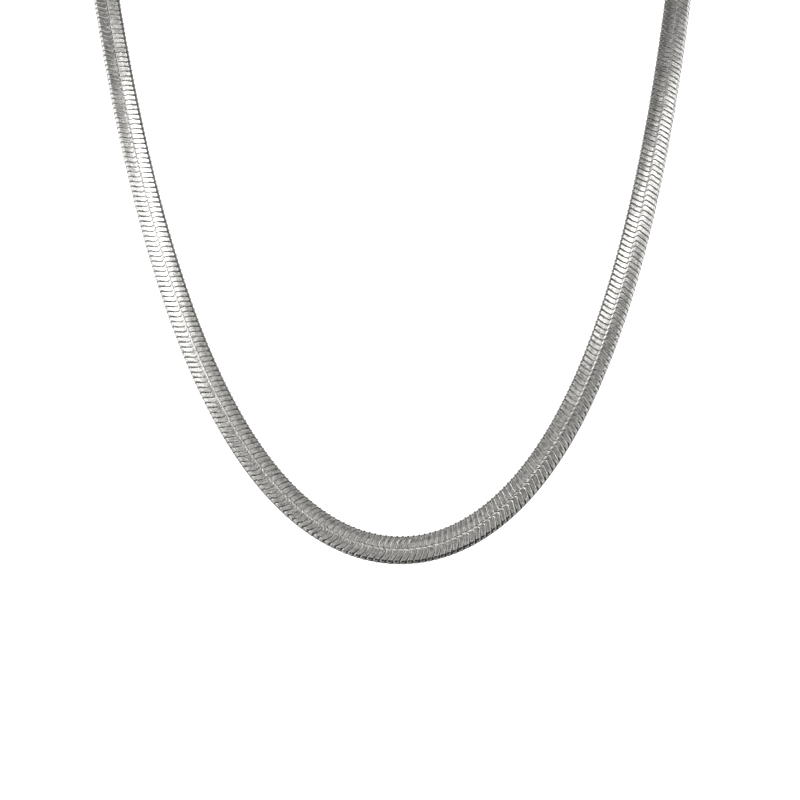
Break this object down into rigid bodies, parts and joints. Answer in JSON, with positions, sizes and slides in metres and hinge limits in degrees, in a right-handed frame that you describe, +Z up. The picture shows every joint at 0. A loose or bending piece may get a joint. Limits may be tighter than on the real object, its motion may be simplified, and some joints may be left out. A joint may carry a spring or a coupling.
{
  "type": "flat chain necklace",
  "caption": "Flat steel chain necklace worn as a whole loop: slanted overlapping pressed links with a seam along the middle, and a plain box clasp at the nape.",
  "frame": {"origin": "middle of the clasp's inner face, where the necklace sits on the nape", "axes": "+Z up, the front of the necklace hangs towards -Y, +X to the right as the necklace is seen from the front"},
  "size_m": [0.1266, 0.11, 0.1464],
  "materials": {
    "chain_steel": "satin steel with polished edges on each pressed link",
    "clasp_steel": "brushed steel with softened edges"
  },
  "bodies": {
    "root": {"chain_left": "chain_steel", "chain_right": "chain_steel", "clasp": "clasp_steel"}
  },
  "joints": []
}
